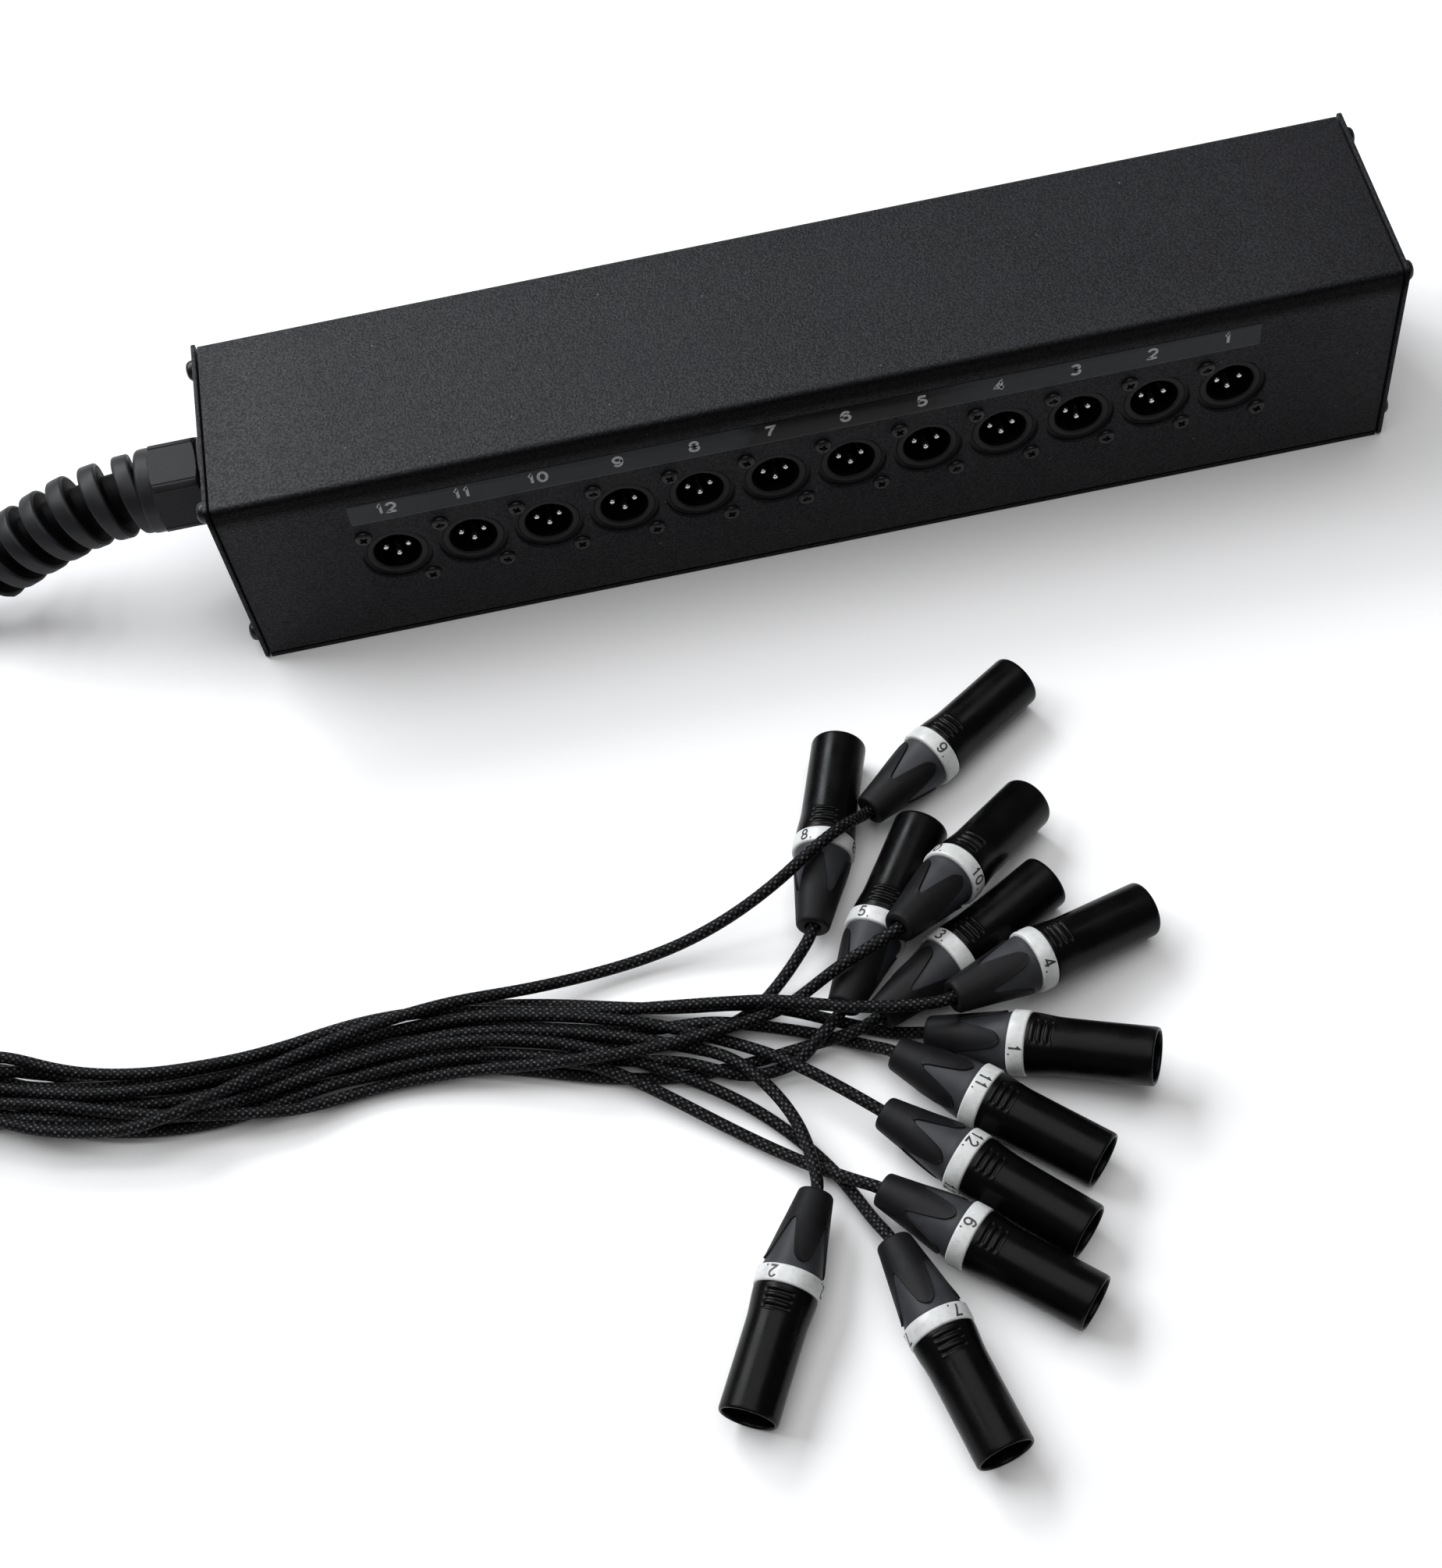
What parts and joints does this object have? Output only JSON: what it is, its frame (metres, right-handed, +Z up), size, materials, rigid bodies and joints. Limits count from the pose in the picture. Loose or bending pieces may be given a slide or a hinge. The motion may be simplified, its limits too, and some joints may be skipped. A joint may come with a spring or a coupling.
{
  "type": "stage box snake",
  "caption": "Sheet-metal stage box with a row of male 3-pin panel connectors, a multicore trunk on a coil, and a fan-out of braided tails with male 3-pin plugs.",
  "frame": {"origin": "centre of the box's underside, on the surface that the box, the plugs and the coil lie on", "axes": "+X along the box to its right end, away from the cable gland; -Y out of the connector face; +Z up"},
  "size_m": [1.0254, 0.4414, 0.079],
  "materials": {
    "powder_coat": "satin fine-texture powder coat",
    "cover_coat": "satin fine-texture powder coat",
    "black_screw": "black zinc, semi-gloss",
    "connector_moulding": "fine matt moulding",
    "label_tape": "satin to glossy tape, light grey numerals",
    "gland_plastic": "satin moulded nylon",
    "protector_rubber": "matt moulded rubber",
    "cable_jacket": "satin soft cable jacket",
    "strap_webbing": "woven nylon",
    "braided_sleeve": "braided nylon sleeve with light flecks",
    "plug_shell": "satin black plated shell",
    "coding_ring": "semi-gloss white, dark numerals",
    "boot_grey": "satin dark grey boot core",
    "contact_metal": "silver plated, polished",
    "loom_wire": "satin insulated wire bundle"
  },
  "bodies": {
    "root": {"case_shell": "powder_coat", "bottom_cover": "cover_coat", "end_plate_left": "powder_coat", "end_plate_right": "powder_coat", "end_screw_left_lower_front": "black_screw", "end_screw_left_lower_rear": "black_screw", "end_screw_left_upper_front": "black_screw", "end_screw_left_upper_rear": "black_screw", "end_screw_right_lower_front": "black_screw", "end_screw_right_lower_rear": "black_screw", "end_screw_right_upper_front": "black_screw", "end_screw_right_upper_rear": "black_screw", "panel_connector_12": "connector_moulding", "panel_connector_11": "connector_moulding", "panel_connector_10": "connector_moulding", "panel_connector_09": "connector_moulding", "panel_connector_08": "connector_moulding", "panel_connector_07": "connector_moulding", "panel_connector_06": "connector_moulding", "panel_connector_05": "connector_moulding", "panel_connector_04": "connector_moulding", "panel_connector_03": "connector_moulding", "panel_connector_02": "connector_moulding", "panel_connector_01": "connector_moulding", "label_strip": "label_tape", "gland_body": "gland_plastic", "gland_locknut": "gland_plastic", "gland_nut_and_bend_protector": "protector_rubber", "gland_seal": "protector_rubber", "trunk_cable_box_end": "cable_jacket", "trunk_coil": "cable_jacket", "trunk_cable_fan_end": "cable_jacket", "coil_strap_1": "strap_webbing", "coil_strap_2": "strap_webbing", "fanout_breakout": "protector_rubber", "wire_loom": "loom_wire", "plug_01": "plug_shell", "plug_02": "plug_shell", "plug_03": "plug_shell", "plug_04": "plug_shell", "plug_05": "plug_shell", "plug_06": "plug_shell", "plug_07": "plug_shell", "plug_08": "plug_shell", "plug_09": "plug_shell", "plug_10": "plug_shell", "plug_11": "plug_shell", "plug_12": "plug_shell", "tail_01": "braided_sleeve", "tail_02": "braided_sleeve", "tail_03": "braided_sleeve", "tail_04": "braided_sleeve", "tail_05": "braided_sleeve", "tail_06": "braided_sleeve", "tail_07": "braided_sleeve", "tail_08": "braided_sleeve", "tail_09": "braided_sleeve", "tail_10": "braided_sleeve", "tail_11": "braided_sleeve", "tail_12": "braided_sleeve"}
  },
  "joints": []
}
